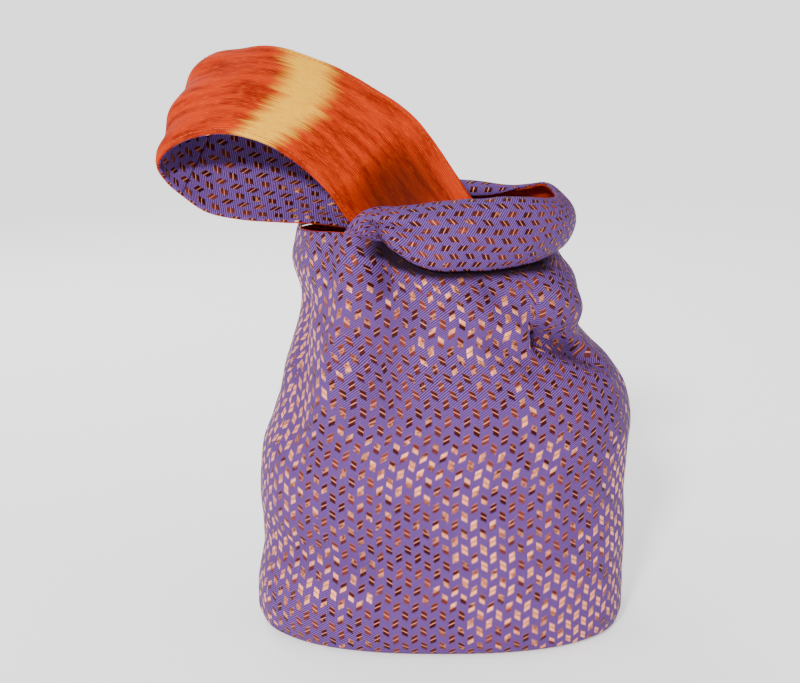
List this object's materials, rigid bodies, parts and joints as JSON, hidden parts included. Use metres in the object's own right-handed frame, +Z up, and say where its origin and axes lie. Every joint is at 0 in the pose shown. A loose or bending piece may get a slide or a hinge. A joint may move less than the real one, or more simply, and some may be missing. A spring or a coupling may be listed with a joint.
{
  "type": "knot bag",
  "caption": "Filled, flat-based cloth knot bag with its long handle pulled through the loop of its short one, brocade outside and orange lining inside.",
  "frame": {"origin": "middle of the flat base, on the floor it stands on", "axes": "+X to the bag's right-hand side as seen from its front, +Y towards its back, +Z up"},
  "size_m": [0.2781, 0.16, 0.3464],
  "materials": {
    "brocade": "jacquard with copper floats",
    "lining": "ikat, slight sheen"
  },
  "bodies": {
    "root": {"outer_front": "brocade", "outer_back": "brocade", "outer_base": "brocade", "short_handle": "brocade", "long_handle_front": "brocade", "long_handle_back": "brocade", "body_lining": "lining", "short_handle_lining": "lining", "long_handle_lining": "lining"}
  },
  "joints": []
}
